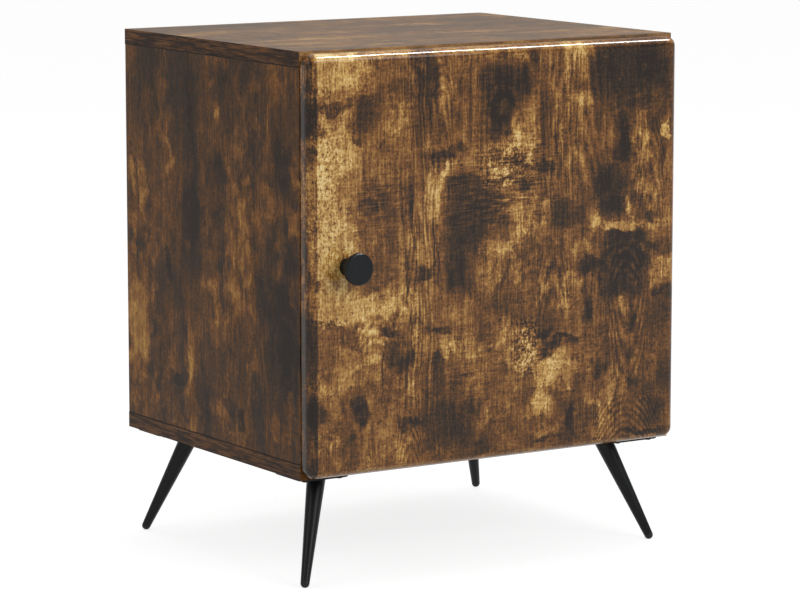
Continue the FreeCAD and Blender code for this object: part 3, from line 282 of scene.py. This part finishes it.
LEFT_GLOW = [
    (160, 210, 20, 45, 0.75), (165, 300, 20, 50, 0.48), (167, 358, 6, 12, 0.50), (-36, 335, 20, 65, 0.55),
    (-20, 280, 22, 20, 0.45), (10, 240, 20, 28, 0.42), (-102, 352, 20, 20, 0.50), (-136, 350, 10, 14, 0.70),
    (-136, 385, 6, 6, 0.60), (24, 330, 12, 10, 0.48), (14, 456, 7, 2.5, 1.00), (5, 432, 4, 4, 0.90),
    (104, 470, 4, 30, 0.55), (98, 380, 4, 30, 0.50), (124, 250, 4, 40, 0.45), (-10, 140, 20, 12, 0.50),
    (-60, 200, 10, 28, 0.40), (-125, 150, 12, 14, 0.45), (110, 185, 20, 36, 0.35), (165, 136, 15, 10, 0.50),
    (-132, 182, 4, 22, 0.70), (-100, 150, 5, 20, 0.55), (60, 190, 5, 30, 0.60), (130, 160, 8, 24, 0.60),
]
# Same print, set darker on the sides, bottom and shelf than on the top: painted shade where less light falls.
satin_laminate("smoked_left_side", SIDE_FACE, 3.1, 0.32, LEFT_SMOKE, LEFT_GLOW).cover("left_side_panel")
satin_laminate("smoked_right_side", SIDE_FACE, 27.4, 0.34).cover("right_side_panel")
# The top gets a painted reflection of the pale room, greying it as seen at a grazing angle.
top = satin_laminate("smoked_top", LEVEL_FACE, 41.7, 0.50, painted_reflection=0.28)
top.set("Specular IOR Level", 0.30)
top.cover("top_panel")
satin_laminate("smoked_bottom", LEVEL_FACE, 58.2, 0.36).cover("bottom_panel")
satin_laminate("smoked_shelf", LEVEL_FACE, 66.6, 0.36).cover("shelf")

# ------------------------------------------------------------------------------------- end edge bands
# Thin strips of the same print, ironed over the sawn ends of the top and bottom boards with the grain
# along them; they stand a hair proud of the side boards, and a thin dark line runs along that edge.
BAND_SEAMS = {"top": SIDE_HIGH[2], "bottom": SIDE_LOW[2]}
SEAM_LINE_HALF = 0.0006
BAND_BROWNS = [(0.0, (0.006, 0.004, 0.003)), (0.25, (0.022, 0.011, 0.006)), (0.55, (0.068, 0.030, 0.012)),
               (0.95, (0.210, 0.090, 0.030))]
for level, seam in BAND_SEAMS.items():
    bands = Finish(f"{level}_edge_band_print", 0.45, specular=0.10)
    waves = bands.noise(bands.place, (90, 34, 330), 5, 0.65, 4.2 + seam)
    lines = bands.noise(bands.place, (200, 14, 1100), 3, 0.6, 9.1 + seam)
    tone = bands.math("ADD", bands.between(waves, 0.34, 0.66, 0.0, 0.62),
                      bands.between(lines, 0.32, 0.68, 0.0, 0.38))
    height = bands.add("ShaderNodeSeparateXYZ", {0: bands.place}).outputs[2]
    apart = bands.math("ABSOLUTE", bands.math("SUBTRACT", height, seam))
    seam_line = bands.between(apart, 2 * SEAM_LINE_HALF, SEAM_LINE_HALF)
    bands.set("Base Color", bands.ramp(bands.math("SUBTRACT", tone, seam_line), BAND_BROWNS))
    bands.relief(lines, 0.0001, 0.6)
    bands.cover(f"{level}_left_edge_band", f"{level}_right_edge_band")

# --------------------------------------------------------------------------------------- hardboard back
# Thin pressed-fibre board, brown and slightly mottled, slid into a groove round the four boards.
hardboard = Finish("hardboard_brown", 0.8, specular=0.2)
fibres = hardboard.noise(hardboard.place, (420, 420, 420), 5, 0.7, 2.0)
mottle = hardboard.noise(hardboard.place, (22, 22, 22), 3, 0.5, 8.0)
browns = [(0.0, (0.115, 0.068, 0.036)), (1.0, (0.220, 0.140, 0.078))]
tone = hardboard.math("ADD", hardboard.between(fibres, 0.25, 0.75, 0.0, 0.6),
                      hardboard.between(mottle, 0.3, 0.7, 0.0, 0.4))
hardboard.set("Base Color", hardboard.ramp(tone, browns))
hardboard.relief(fibres, 0.0002, 0.5)
hardboard.cover("back_panel")

# --------------------------------------------------------------- cam locks, bolts, dowels, shelf pins
# Die-cast zinc cam discs, nickel-plated bolts and shelf pins, and beech dowels. The screw that holds the
# knob is plated like them.
def speckled(name, grain, seed, dark, light, depth, roughness=0.5, sheen=None, detail=3, **shine):
    """Finish with one fine pattern in its colour and relief; grain is specks to a metre, sheen the
    least and most roughness where that follows the pattern too."""
    finish = Finish(name, roughness, **shine)
    specks = finish.noise(finish.place, grain, detail, 0.6, seed)
    finish.set("Base Color", finish.ramp(specks, [(0.3, dark), (0.7, light)]))
    if sheen:
        finish.set("Roughness", finish.between(specks, 0.3, 0.7, *sheen))
    finish.relief(specks, depth)
    return finish


SHELF_PINS = [f"{row}_{side}_shelf_pin" for row in ("front", "back") for side in ("left", "right")]
zinc = speckled("cast_zinc", (900, 900, 900), 1.0, (0.36, 0.37, 0.39), (0.50, 0.51, 0.53), 0.00005,
                sheen=(0.38, 0.55), metallic=1.0)
zinc.cover("left_cam_discs", "right_cam_discs")
nickel = speckled("nickel_plate", (260, 260, 1400), 5.0, (0.565, 0.555, 0.525), (0.685, 0.675, 0.645),
                  0.00002, sheen=(0.18, 0.34), detail=4, metallic=1.0)
nickel.cover("cam_bolts", "knob_screw", *SHELF_PINS)
beech = speckled("beech_dowel", (700, 700, 60), 3.0, (0.42, 0.29, 0.17), (0.60, 0.45, 0.28), 0.0001,
                 roughness=0.65)
beech.cover("dowels")

# ------------------------------------------------------------------------------------------- the legs
# Tapered steel tubes welded under square plates, powder-coated satin black, with a black nylon glide
# pushed into each foot and black screws through the plate.
CORNERS = ("front_left", "front_right", "back_left", "back_right")
powder = Finish("satin_black_powder_coat", 0.38, specular=0.20)
powder_peel = powder.noise(powder.place, (1100, 1100, 1100), 3, 0.5, 6.0)
powder_wear = powder.noise(powder.place, (30, 30, 12), 4, 0.6, 12.0)
powder_blacks = [(0.3, (0.0035, 0.0038, 0.0045)), (0.75, (0.0070, 0.0074, 0.0082))]
powder.set("Base Color", powder.ramp(powder_wear, powder_blacks))
powder.set("Roughness", powder.between(powder_wear, 0.3, 0.7, 0.26, 0.38))
powder.relief(powder_peel, 0.00006, 0.5)
powder.cover(*(f"{corner}_leg_{piece}" for corner in CORNERS for piece in ("plate", "tube", "screws")))
nylon = speckled("black_nylon", (800, 800, 800), 7.0, (0.006, 0.006, 0.007), (0.012, 0.012, 0.013), 0.00005,
                 roughness=0.55, specular=0.3)
nylon.cover(*(f"{corner}_foot_glide" for corner in CORNERS))

# ------------------------------------------------------------------------------------------- the door
# One board wrapped in a high-gloss foil that is printed as amber timber with smoked blotches, knots,
# wild grain and fine saw marks. The foil runs round the rounded front edges.
# Smoke as (across, up, half width, half height, strength), in millimetres, from the upper left down.
DOOR_SMOKE = [
    (-186, 449.5, 24, 3.5, 0.80), (-203, 436, 8, 16, 0.90), (-184, 487, 6, 4, 0.55), (-196, 483, 2, 10, 0.45),
    (-147, 449, 14, 25, 0.66), (-157, 432, 13, 9, 0.55), (-157, 416, 3.5, 4.5, 0.95), (-110, 465, 15, 8, 0.45),
    (-83, 476, 11, 30, 0.85), (-84, 436, 10, 26, 0.55), (-67, 418, 5, 17, 0.62), (-66, 396, 14, 4, 0.85),
    (-45, 403, 13, 4, 0.55), (-128, 408, 10, 10, 0.40), (-140, 361, 20, 11, 0.66), (-126, 344, 20, 10, 0.45),
    (-102, 356, 6, 18, 0.62), (-34, 353, 27, 21, 0.80), (-36, 325, 24, 22, 0.72), (-44, 290, 18, 22, 0.76),
    (3, 452, 20, 24, 0.90), (-2, 424, 9, 12, 0.88), (22, 460, 17, 16, 0.70), (34, 485, 5, 12, 0.58),
    (52, 425, 7, 30, 0.50), (64, 392, 5, 26, 0.50), (52, 379, 6, 4, 0.80), (132, 468, 25, 30, 0.75),
    (170, 474, 21, 26, 0.80), (150, 436, 30, 10, 0.62), (143, 404, 10, 20, 0.88), (180, 412, 8, 10, 0.55),
    (188, 385, 3, 18, 0.50), (125, 361, 16, 16, 0.80), (129, 338, 14, 8, 0.90), (146, 341, 4, 3, 0.85),
    (82, 335, 18, 11, 0.58), (174, 329, 6, 5, 0.62), (21, 391, 12, 6, 0.75), (36, 378, 8, 4, 0.62),
    (8, 370, 14, 2.5, 0.62), (28, 364, 11, 3.5, 0.58), (-1, 345, 20, 3, 0.60), (4, 333, 14, 9, 0.55),
    (-200, 284, 3.5, 3, 0.95), (-85, 292, 7, 7, 0.90), (-140, 280, 12, 4, 0.45), (-172, 262, 6, 8, 0.42),
    (-195, 251, 12, 2.5, 0.62), (-123, 238, 11, 4, 0.92), (-117, 218, 9, 11, 0.72), (-103, 211, 9, 8, 0.72),
    (-120, 250, 3, 9, 0.55), (-170, 236, 4, 14, 0.50), (-180, 215, 16, 11, 0.45), (-68, 238, 12, 4, 0.95),
    (-60, 234, 5, 4, 0.95), (-72, 206, 7, 5, 0.85), (-74, 188, 9, 20, 0.62), (-45, 189, 14, 2.5, 0.55),
    (-50, 181, 10, 3, 0.55), (-138, 192, 6, 3, 0.55), (-152, 163, 7, 13, 0.88), (-166, 143, 6, 6, 0.72),
    (-162, 127, 6, 12, 0.50), (-169, 166, 4, 13, 0.42), (-199, 168, 8, 7, 0.78), (-126, 165, 3, 12, 0.50),
    (-95, 150, 16, 7, 0.82), (-58, 143, 32, 27, 0.70), (-36, 160, 14, 11, 0.62), (-20, 124, 14, 9, 0.62),
    (-16, 232, 8, 8, 0.42), (108, 283, 18, 6, 0.88), (147, 290, 26, 15, 0.95), (146, 268, 22, 18, 0.90),
    (148, 308, 22, 7, 0.88), (176, 300, 12, 5, 0.62), (190, 256, 10, 4, 0.72), (200, 250, 9, 8, 0.55),
    (101, 240, 6, 10, 0.80), (100, 262, 4, 20, 0.48), (152, 228, 6, 10, 0.60), (49, 225, 7, 4, 0.92),
    (60, 211, 10, 5, 0.95), (76, 212, 12, 2.5, 0.85), (51, 206, 5, 3, 0.85), (115, 180, 6, 12, 0.64),
    (153, 165, 12, 7, 0.58), (176, 155, 12, 9, 0.45), (181, 135, 10, 13, 0.64), (83, 137, 6, 12, 0.74),
    (45, 120, 12, 3, 0.72), (70, 122, 14, 4, 0.56), (174, 117, 22, 3.5, 0.80), (196, 170, 10, 22, 0.50),
    (186, 230, 18, 20, 0.45), (120, 428, 14, 12, 0.40), (-22, 440, 8, 20, 0.42), (-135, 300, 10, 8, 0.40),
]
# Bright amber places, given the same way.
DOOR_GLOW = [
    (-186, 375, 22, 62, 0.95), (-178, 482, 34, 19, 0.95), (-170, 440, 10, 14, 0.50), (-192, 302, 17, 28, 0.85),
    (-160, 264, 40, 14, 0.90), (-118, 262, 14, 13, 0.68), (-110, 440, 8, 20, 0.42), (-79, 380, 3, 34, 0.55),
    (-64, 465, 12, 6, 0.45), (-63, 384, 4, 4, 0.90), (-74, 358, 7, 18, 0.52), (-42, 445, 7, 6, 0.45),
    (20, 485, 8, 9, 0.60), (0, 481, 12, 6, 0.45), (22, 410, 16, 20, 0.62), (35, 394, 6, 12, 0.66),
    (2, 378, 8, 2.5, 0.90), (11, 366, 5, 2, 1.10), (79, 472, 5, 30, 0.66), (98, 482, 10, 14, 0.48),
    (98, 440, 7, 8, 0.66), (168, 384, 14, 34, 0.44), (151, 338, 5, 8, 0.85), (148, 321, 32, 4, 0.85),
    (107, 328, 9, 12, 0.68), (193, 407, 4, 3, 1.50), (195, 272, 9, 12, 0.60), (36, 330, 18, 18, 0.50),
    (0, 311, 20, 7, 0.62), (10, 288, 30, 16, 0.42), (50, 272, 8, 18, 0.52), (76, 262, 6, 16, 0.48),
    (62, 186, 22, 15, 0.90), (50, 160, 10, 14, 0.85), (18, 190, 12, 14, 0.66), (32, 207, 8, 15, 0.85),
    (10, 225, 10, 18, 0.48), (-12, 152, 6, 12, 0.52), (52, 132, 10, 9, 0.48), (131, 165, 5, 22, 0.52),
    (146, 163, 4, 10, 0.75), (145, 240, 4, 8, 0.60), (120, 134, 16, 18, 0.40), (-158, 212, 28, 18, 0.45),
    (-138, 236, 14, 9, 0.50), (-196, 194, 10, 10, 0.48), (-100, 180, 10, 8, 0.44), (-190, 140, 14, 10, 0.42),
    (-48, 215, 18, 10, 0.42), (-120, 425, 6, 18, 0.40), (-95, 250, 5, 30, 0.40), (88, 296, 12, 20, 0.36),
]
# Arched year rings as (across, up, half width, half height, tightness).
DOOR_ARCHES = [
    (170, 375, 19, 46, 11), (148, 128, 42, 24, 22), (88, 430, 34, 70, 9), (60, 268, 20, 34, 9),
    (-67, 406, 15, 50, 8), (-64, 468, 12, 12, 8), (-100, 132, 16, 24, 11), (150, 212, 23, -44, 11),
    (-140, 238, 22, 14, 9), (-92, 300, 17, 60, 9), (148, 282, 22, 18, 9),
]
# Closed rings round the knots, given the same way.
DOOR_KNOTS = [(143, 285, 30, 17, 13), (-145, 355, 18, 12, 9), (-152, 163, 12, 16, 8), (2, 440, 20, 24, 9)]
# Places of upright fine grain, of saw marks across it and of crumbled print, given like the smoke.
DOOR_STRAIGHT = [
    (-92, 380, 17, 130, 1.0), (-92, 230, 14, 60, 0.9), (-30, 450, 26, 45, 0.5), (72, 420, 22, 80, 0.6),
]
DOOR_SAWN = [
    (15, 372, 34, 32, 1.0), (-32, 358, 26, 24, 0.8), (-135, 356, 26, 24, 0.6), (30, 200, 60, 30, 0.4),
]
DOOR_CRUMBLED = [
    (31, 210, 9, 18, 1.0), (14, 384, 26, 16, 0.7), (-190, 380, 12, 60, 0.5), (-190, 250, 16, 4, 0.8),
]
# Cracks as (across, up, half length).
DOOR_CRACKS = [
    (-103.5, 282, 30), (-98.5, 238, 26), (-73.5, 318, 26), (-69, 292, 18), (-130.5, 192, 30), (-97, 340, 20),
]
DOOR_LOW, DOOR_HIGH = corners("door_panel")
door = Finish("gloss_amber_foil", 0.42, specular=0.06)
timber = TimberPrint(door, FRONT_FACE, 0.0)
tone = door.math("ADD", 0.525, door.total((timber.clouds, 0.38), (timber.curls, 0.40)))
tone = door.math("MULTIPLY_ADD", timber.stain(DOOR_SMOKE, 0.12, 0.82), -0.44, tone)
glow = timber.stain(DOOR_GLOW, 0.00, 0.90)
tone = door.math("MULTIPLY_ADD", glow, 0.44, tone)
aside, _, up = door.add("ShaderNodeSeparateXYZ", {0: door.place}).outputs
# Tone added to the print: lighter towards the left of the door and darker towards the right; painted shade on
# the left rounding, painted light from above on the top rounding and a painted reflection of the pale floor on
# the rounding at the foot, as (coordinate, where the change starts, where it ends, tone before it, tone after
# it).
DOOR_DRIFT_AND_PAINTED_LIGHT = [
    (aside, -0.20, 0.20, 0.04, -0.10),
    (aside, DOOR_LOW[0] + 0.0078, DOOR_LOW[0] + 0.0090, -0.40, 0.0),
    (up, DOOR_HIGH[2] - 0.0072, DOOR_HIGH[2] - 0.0052, 0.0, 0.24),
    (up, DOOR_LOW[2] + 0.0062, DOOR_LOW[2] + 0.0042, 0.0, 0.16),
]
for shade in DOOR_DRIFT_AND_PAINTED_LIGHT:
    tone = door.math("ADD", tone, door.between(*shade))
fine = door.total((timber.fibres, 0.36), (timber.sinews, 0.32), (timber.crumbs, 0.38), (timber.saws, 0.20))
fine = door.math("MULTIPLY_ADD", glow, door.total((timber.crumbs, 0.22)), fine)
for places, pattern, strength in ((DOOR_STRAIGHT, timber.sinews, 0.55), (DOOR_SAWN, timber.saws, 0.62),
                                  (DOOR_CRUMBLED, timber.crumbs, 1.30)):
    fine = door.math("MULTIPLY_ADD", timber.patches(places), door.total((pattern, strength)), fine)
fine = door.math("ADD", fine, door.between(timber.crumbs, 0.30, 0.39, -0.40, 0.0))
fine = door.math("ADD", fine, timber.rings(DOOR_ARCHES))
fine = door.math("ADD", fine, timber.rings(DOOR_KNOTS, closed=True))
fine = door.math("MULTIPLY_ADD", timber.cracks(DOOR_CRACKS), -0.50, fine)
door.set("Base Color", timber.colour(door.math("ADD", tone, fine)))
door.set("Roughness", door.between(timber.clouds, 0.3, 0.7, 0.36, 0.48))
door.set("Coat Weight", 1.0)
door.set("Coat Roughness", 0.03)
door.set("Coat IOR", 1.31)
door.relief(timber.clouds, 0.0001, 0.03)
door.cover("door_panel")

# ------------------------------------------------------------------------------- knob and door stops
# A round knob of zinc alloy with satin black lacquer, screwed on from behind, and two soft grey pads
# that meet the box when the door shuts.
lacquer = Finish("satin_black_lacquer", 0.30, specular=0.22)
lacquer_haze = lacquer.noise(lacquer.place, (120, 120, 120), 4, 0.6, 3.0)
lacquer_peel = lacquer.noise(lacquer.place, (1500, 1500, 1500), 2, 0.5, 4.0)
lacquer_blacks = [(0.3, (0.0030, 0.0042, 0.0050)), (0.7, (0.0060, 0.0078, 0.0092))]
lacquer.set("Base Color", lacquer.ramp(lacquer_haze, lacquer_blacks))
lacquer.set("Roughness", lacquer.between(lacquer_haze, 0.3, 0.7, 0.26, 0.36))
lacquer.relief(lacquer_peel, 0.00003, 0.5)
lacquer.cover("knob")
pads = speckled("soft_grey_pad", (600, 600, 600), 5.0, (0.42, 0.42, 0.40), (0.52, 0.52, 0.50), 0.00005,
                roughness=0.6)
pads.cover("door_bumpers")

# ----------------------------------------------------------------------------------------- the hinges
# Nickel-plated pressed steel: a cup let into the door, two links on riveted pins, and an arm that is
# screwed to a winged plate on the side board.
HINGE_PIECES = ("cup", "arm", "mounting_plate", "outer_link", "inner_link", "cup_pins", "arm_pins",
                "cup_screws", "arm_screws", "plate_screws")
for level in ("lower", "upper"):
    nickel.cover(*(f"{level}_hinge_{piece}" for piece in HINGE_PIECES))

# ----------------------------------------------------------------------------------- floor and light
# A plain pale floor under even, soft studio light. To the lens and in reflections the floor is lifted to
# white, and it keeps the table's shadow.
FLOOR_SIZE = 40
FLOOR_GREY = (0.36, 0.36, 0.36, 1)
FLOOR_LIFT = 0.80


def stage_floor():
    bpy.ops.mesh.primitive_plane_add(size=FLOOR_SIZE, location=(0, 0, 0))
    floor = bpy.context.object
    floor.name = "floor"
    material = bpy.data.materials.new("pale_floor")
    material.use_nodes = True
    tree = material.node_tree
    shader = tree.nodes["Principled BSDF"]
    shader.inputs["Base Color"].default_value = FLOOR_GREY
    shader.inputs["Roughness"].default_value = 0.9
    shader.inputs["Specular IOR Level"].default_value = 0.0
    white = tree.nodes.new("ShaderNodeEmission")
    white.inputs["Strength"].default_value = FLOOR_LIFT
    lifted = tree.nodes.new("ShaderNodeAddShader")
    tree.links.new(shader.outputs[0], lifted.inputs[0])
    tree.links.new(white.outputs[0], lifted.inputs[1])
    rays = tree.nodes.new("ShaderNodeLightPath").outputs
    seen = rays["Is Camera Ray"]
    for kind in ("Is Glossy Ray", "Is Transmission Ray"):
        either = tree.nodes.new("ShaderNodeMath")
        either.operation = "MAXIMUM"
        tree.links.new(seen, either.inputs[0])
        tree.links.new(rays[kind], either.inputs[1])
        seen = either.outputs[0]
    shown = tree.nodes.new("ShaderNodeMixShader")
    tree.links.new(seen, shown.inputs[0])
    tree.links.new(shader.outputs[0], shown.inputs[1])
    tree.links.new(lifted.outputs[0], shown.inputs[2])
    tree.links.new(shown.outputs[0], tree.nodes["Material Output"].inputs["Surface"])
    floor.data.materials.append(material)


def soft_lamp(name, place, target, size, power, only_gloss=False):
    """Area lamp; only_gloss makes it a strip that shows as a reflection and lights nothing."""
    lamp = bpy.data.lights.new(name, "AREA")
    lamp.shape = "RECTANGLE"
    lamp.size, lamp.size_y = size
    lamp.energy = power
    holder = bpy.data.objects.new(name, lamp)
    holder.location = place
    holder.rotation_euler = (Vector(target) - Vector(place)).to_track_quat("-Z", "Y").to_euler()
    holder.visible_diffuse = not only_gloss
    bpy.context.scene.collection.objects.link(holder)


TABLE_MIDDLE = (0, 0, 0.28)
TABLE_TOP = (0, 0, 0.5)
UNDER_STRIP = (1.76, -0.86, 0)
SKY_STRENGTH = 0.50
stage_floor()
soft_lamp("strip_lamp", (1.76, -0.86, 3.0), UNDER_STRIP, (1.5, 0.66), 185, only_gloss=True)
soft_lamp("front_lamp", (0.9, -3.0, 1.8), TABLE_MIDDLE, (2.0, 1.4), 40)
soft_lamp("left_lamp", (-2.6, -0.4, 1.6), TABLE_MIDDLE, (1.6, 1.6), 12)
soft_lamp("top_lamp", (0.3, 0.6, 2.8), TABLE_TOP, (2.0, 2.0), 18)
world = bpy.data.worlds.new("studio")
world.use_nodes = True
sky = world.node_tree.nodes["Background"].inputs
sky["Color"].default_value = (1, 1, 1, 1)
sky["Strength"].default_value = SKY_STRENGTH
bpy.context.scene.world = world
bpy.context.scene.view_settings.view_transform = "Standard"

# ----------------------------------------------------------------------------------------- the camera
# A long lens, a little above the table and to its left.
FRAME_WIDTH = 800
FOCAL_PIXELS = 3633.0
SENSOR_WIDTH = 36
CAMERA_PLACE = (-1.904, -2.960, 0.7652)
CAMERA_TURN = math.radians(32.65)
CAMERA_DIP = math.radians(8.53)
camera = bpy.data.cameras.new("camera")
camera.sensor_width = SENSOR_WIDTH
camera.lens = FOCAL_PIXELS * camera.sensor_width / FRAME_WIDTH
camera.clip_end = 100
viewer = bpy.data.objects.new("camera", camera)
viewer.location = CAMERA_PLACE
viewer.rotation_euler = (math.pi / 2 - CAMERA_DIP, 0, -CAMERA_TURN)
bpy.context.scene.collection.objects.link(viewer)
bpy.context.scene.camera = viewer
